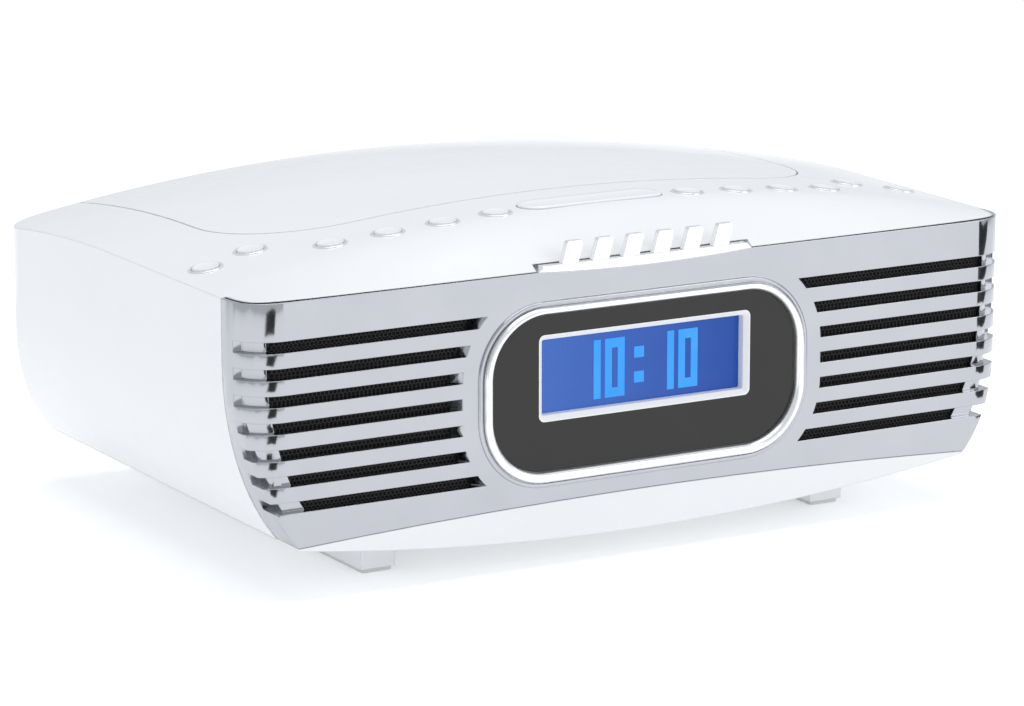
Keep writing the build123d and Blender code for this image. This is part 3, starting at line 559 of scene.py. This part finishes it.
# Radius and height over the cover of the ring round a key, from its bore outwards.
RING_LIP = (
    (0.0048, -0.004),
    (0.0048, 0.0001),
    (0.00495, 0.00035),
    (0.0053, 0.00045),
    (0.0056, 0.00035),
    (0.0058, 0.0),
    (0.0058, -0.002),
)
# Inset from the edge of the snooze bar and height over the cover, from its skirt inwards.
SNOOZE_SECTION = (
    (0.0, -0.006),
    (0.0, 0.0003),
    (0.0003, 0.0007),
    (0.0008, 0.0009),
    (0.0022, 0.0006),
    (0.0045, 0.0004),
    (0.0062, 0.0004),
)


def case_top(x, y):
    """Height of the cover at a point in plan."""
    run = y - FRONT
    rise = math.sin(math.pi / 2 * min(run / FOREHEAD, 1.0))
    back = max(run - LEVEL_RUN, 0.0) / (DEPTH - LEVEL_RUN)
    return RIM_Z + CROWN * (1 - (x / HALF) ** 2) * rise - REAR_FALL * back**2


def circle(x, y, radius, lift, floor=None, steps=40):
    """Points of a circle that follows the cover at this height over it, or lies level."""
    loop = []
    for k in range(steps):
        angle = 2 * math.pi * k / steps
        px = x + radius * math.cos(angle)
        py = y + radius * math.sin(angle)
        z = case_top(px, py) + lift if floor is None else floor
        loop.append(Vector((px, py, z)))
    return loop


key_names = sorted(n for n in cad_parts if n.removeprefix("key_").isdigit())
key_spots = {}
for name in key_names:
    low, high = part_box(name)
    spot = (low + high) / 2
    key_spots[name] = spot
    loops = [circle(spot.x, spot.y, KEY_R * share, lift) for share, lift in KEY_SECTION]
    for radius, floor in ((KEY_R, low.z + STEM_LONG), (STEM_R, low.z + STEM_LONG), (STEM_R, low.z)):
        loops.append(circle(spot.x, spot.y, radius, 0, floor))
    cap = skin_of(f"{name}_cap_dished", loops, white_shell, f"{name}_cap", capped=(0, -1))
    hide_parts(name)

for number, name in enumerate(key_names):
    spot = key_spots[name]
    loops = [circle(spot.x, spot.y, radius, lift) for radius, lift in RING_LIP]
    lip = skin_of(f"key_ring_{number + 1:02d}", loops, polished, "case", joined=True)
    if number == 0:
        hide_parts("key_rings")

snooze_low, snooze_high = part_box("snooze_bar")
snooze_long = snooze_high.x - snooze_low.x
snooze_wide = snooze_high.y - snooze_low.y
snooze_y = (snooze_high.y + snooze_low.y) / 2


def snooze_loop(inset, lift, steps=18):
    """Points of the bar's round-ended outline, at this height over the cover."""
    radius = snooze_wide / 2 - inset
    reach = (snooze_long - snooze_wide) / 2
    loop = []
    for end in (1, -1):
        for k in range(steps + 1):
            angle = math.pi * (k / steps - 0.5) + (0 if end > 0 else math.pi)
            x = end * reach + radius * math.cos(angle)
            y = snooze_y + radius * math.sin(angle)
            loop.append(Vector((x, y, case_top(x, y) + lift)))
    return loop


snooze_loops = [snooze_loop(inset, lift) for inset, lift in SNOOZE_SECTION]
snooze = skin_of("snooze_bar_dished", snooze_loops, white_shell, "snooze", capped=(0, -1))
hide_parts("snooze_bar")


def black_moulding(place):
    grain = place.noise(0.0007, 3.0)
    return {
        "Base_Color": grain.blend((0.012, 0.012, 0.013), (0.022, 0.022, 0.024)),
        "Roughness": grain.between(0.38, 0.55),
        "Normal": grain.relief(0.00002, 0.0004),
    }


black = finish("black_moulding", black_moulding)
dress(black, "key_switches")
dress(board_green, "key_board")
smooth_edges(0.0002, "key_switches")

# ---- lid and clamp -------------------------------------------------------------------------------
# The wide lid over the disc player is white ABS with two gooseneck arms that turn on steel
# pins.  A loose clamp hangs in its middle and presses the disc onto the turntable.

dress(white_shell, "disc_lid")


def grey_moulding(place):
    grain = place.noise(0.0008, 3.0)
    return {
        "Base_Color": grain.blend((0.20, 0.205, 0.215), (0.25, 0.255, 0.265)),
        "Roughness": grain.between(0.42, 0.58),
        "Normal": grain.relief(0.00003, 0.0005),
    }


grey = finish("grey_moulding", grey_moulding)
dress(grey, "disc_clamp")
dress(steel, "hinge_pins")
smooth_edges(0.0003, "disc_clamp")
smooth_edges(0.0002, "hinge_pins")

# ---- deck and disc drive -------------------------------------------------------------------------
# The deck with its round well is grey ABS.  Under it a steel chassis on rubber grommets
# carries the motor, two guide rods and the sled with its lens.

HUB_RISE = 0.0022  # top of the turntable's hub over the face that the disc lies on
# Radius and height over that face, from the bore of the turntable round its rim and hub.
HUB_SECTION = (
    (0.0010, -0.0020),
    (0.0128, -0.0020),
    (0.0130, -0.0018),
    (0.0130, -0.0002),
    (0.0128, 0.0),
    (0.0121, 0.0),
    (0.0119, -0.00015),
    (0.0094, -0.00015),
    (0.0092, 0.0),
    (0.0074, 0.0),
    (0.0074, 0.0013),
    (0.0070, 0.0019),
    (0.0064, HUB_RISE),
    (0.0017, HUB_RISE),
    (0.0012, 0.0019),
    (0.0010, 0.0017),
)

dress(grey, "disc_deck")


def soft_black_rubber(place):
    dust = place.noise(0.002)
    return {
        "Base_Color": dust.blend((0.012, 0.012, 0.012), (0.03, 0.03, 0.03)),
        "Roughness": dust.between(0.7, 0.9),
        "Normal": dust.relief(0.00004, 0.0004),
    }


def coated_lens(place):
    film = place.noise(0.002)
    return {
        "Base_Color": film.blend((0.05, 0.08, 0.16), (0.10, 0.06, 0.18)),
        "Roughness": film.between(0.02, 0.06),
    }


dress(steel, "drive_chassis", "spindle_motor", "guide_rods", "spindle_shaft")
dress(black, "laser_sled")
dress(finish("black_rubber", soft_black_rubber), "drive_grommets")
dress(finish("coated_lens", coated_lens, Coat_Weight=1.0), "laser_lens")
smooth_edges(0.0003, "laser_sled", "drive_chassis", "drive_grommets", "spindle_motor")
smooth_edges(0.0002, "guide_rods")

low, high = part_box("turntable")
hub_top = ((low.x + high.x) / 2, (low.y + high.y) / 2, high.z - HUB_RISE)
hub = turned("turntable_hub", HUB_SECTION, hub_top, (0, 0, 1), black, "spindle", capped=())
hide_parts("turntable")

# ---- electronics and sockets ---------------------------------------------------------------------
# The main board stands on posts of the tray, with a finned aluminium heat sink and a tinned
# tuner can.  Four sockets come out through the back.


def drawn_aluminium(place):
    lines = place.noise(0.0005, 2.0, (0.05, 1, 1))
    return {
        "Base_Color": lines.blend((0.58, 0.585, 0.59), (0.68, 0.68, 0.69)),
        "Roughness": lines.between(0.3, 0.45),
        "Normal": lines.relief(0.00001, 0.0003),
    }


dress(finish("drawn_aluminium", drawn_aluminium, Metallic=1.0), "heat_sink")
dress(steel, "tuner_can")
dress(board_green, "main_board")
smooth_edges(0.0003, "heat_sink", "tuner_can")
for socket in ("dc_inlet", "aux_jack", "headphone_jack", "aerial_socket"):
    dress(black, socket)
    smooth_edges(0.0003, socket)

# ---- table, light and camera ---------------------------------------------------------------------
# The radio stands on a wide pale table, under soft light from above and from the right.  Two low
# dark cards show only as reflections, as the dark bands at the corners of the chrome.

TABLE_WIDE = 12.0
CARD_AWAY = 0.2
CARD_HIGH = 0.1
CARD_Z = 0.05
CORNER_X = 0.136  # middle of the chrome's rounded corner, and how far it is behind the front
CORNER_BACK = 0.014
SKY = (0.93, 0.96, 1.0, 1.0)
SKY_STRENGTH = 0.72
TURN = math.radians(30.0)
TILT = math.radians(12.82)
AWAY = 1.5402
AIM_X = 0.0023
AIM_Z = 0.06
AIM_LEFT = 0.04684
AIM_UP = 0.009
LENS = 161.2
SENSOR = 36.0


def pale_table(place):
    paper = place.noise(0.02)
    return {
        "Base_Color": paper.blend((0.86, 0.86, 0.86), (0.89, 0.89, 0.89)),
        "Roughness": paper.between(0.7, 0.8),
        "Emission_Color": paper.blend((0.95, 0.97, 1.0), (1.0, 1.0, 1.0)),
    }


def panel(name, centre, width, height, facing, material):
    """Flat card that looks along a direction."""
    turn = Vector(facing).to_track_quat("Z", "Y").to_matrix().to_4x4()
    data = bpy.data.meshes.new(name)
    corners = [(-width / 2, -height / 2, 0), (width / 2, -height / 2, 0)]
    corners += [(width / 2, height / 2, 0), (-width / 2, height / 2, 0)]
    data.from_pydata(corners, [], [(0, 1, 2, 3)])
    data.materials.append(material)
    card = bpy.data.objects.new(name, data)
    card.matrix_world = Matrix.Translation(centre) @ turn
    bpy.context.scene.collection.objects.link(card)
    card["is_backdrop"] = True
    return card


table_top = finish("pale_table", pale_table, Emission_Strength=0.30)
panel("table", (0, 0, 0), TABLE_WIDE, TABLE_WIDE, (0, 0, 1), table_top)
card_black = finish("card_black", soft_black_rubber)
for name, corner_x, bearing, width in (
    ("card_left", -CORNER_X, 10.0, 0.08),
    ("card_right", CORNER_X, -50.0, 0.09),
):
    angle = math.radians(bearing)
    out = Vector((-math.sin(angle), -math.cos(angle), 0))
    middle = Vector((corner_x, FRONT + CORNER_BACK, CARD_Z)) + out * CARD_AWAY
    card = panel(name, middle, width, CARD_HIGH, -out, card_black)
    card.visible_camera = False
    card.visible_diffuse = False
    card.visible_shadow = False

world = bpy.data.worlds.new("studio")
world.use_nodes = True
sky = world.node_tree.nodes["Background"]
sky.inputs["Color"].default_value = SKY
sky.inputs["Strength"].default_value = SKY_STRENGTH
bpy.context.scene.world = world


def soft_light(name, centre, aim, size, power):
    """Square lamp of this size in metres and power in watts, turned towards a point."""
    lamp = bpy.data.lights.new(name, "AREA")
    lamp.size = size
    lamp.energy = power
    holder = bpy.data.objects.new(name, lamp)
    turn = (Vector(aim) - Vector(centre)).to_track_quat("-Z", "Y").to_matrix().to_4x4()
    holder.matrix_world = Matrix.Translation(centre) @ turn
    bpy.context.scene.collection.objects.link(holder)


soft_light("overhead", (0.0, -0.1, 1.6), (0, 0, 0), 1.4, 11.0)
soft_light("from_front_right", (1.3, -1.5, 0.9), (0, 0, 0.06), 1.0, 6.0)

right = Vector((math.cos(TURN), -math.sin(TURN), 0))
up = Vector((math.sin(TURN) * math.sin(TILT), math.cos(TURN) * math.sin(TILT), math.cos(TILT)))
sight = up.cross(right)
aimed_at = Vector((AIM_X, FRONT, AIM_Z)) - AIM_LEFT * right + AIM_UP * up
lens = bpy.data.cameras.new("camera")
lens.lens = LENS
lens.sensor_width = SENSOR
camera = bpy.data.objects.new("camera", lens)
axes = Matrix((right, up, -sight)).transposed().to_4x4()
camera.matrix_world = Matrix.Translation(aimed_at - AWAY * sight) @ axes
bpy.context.scene.collection.objects.link(camera)
bpy.context.scene.camera = camera
bpy.context.scene.view_settings.view_transform = "Standard"

seen_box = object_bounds()
boxes = {"cad": cad_box, "seen": seen_box}
boxes = {name: [list(corner) for corner in box] for name, box in boxes.items()}
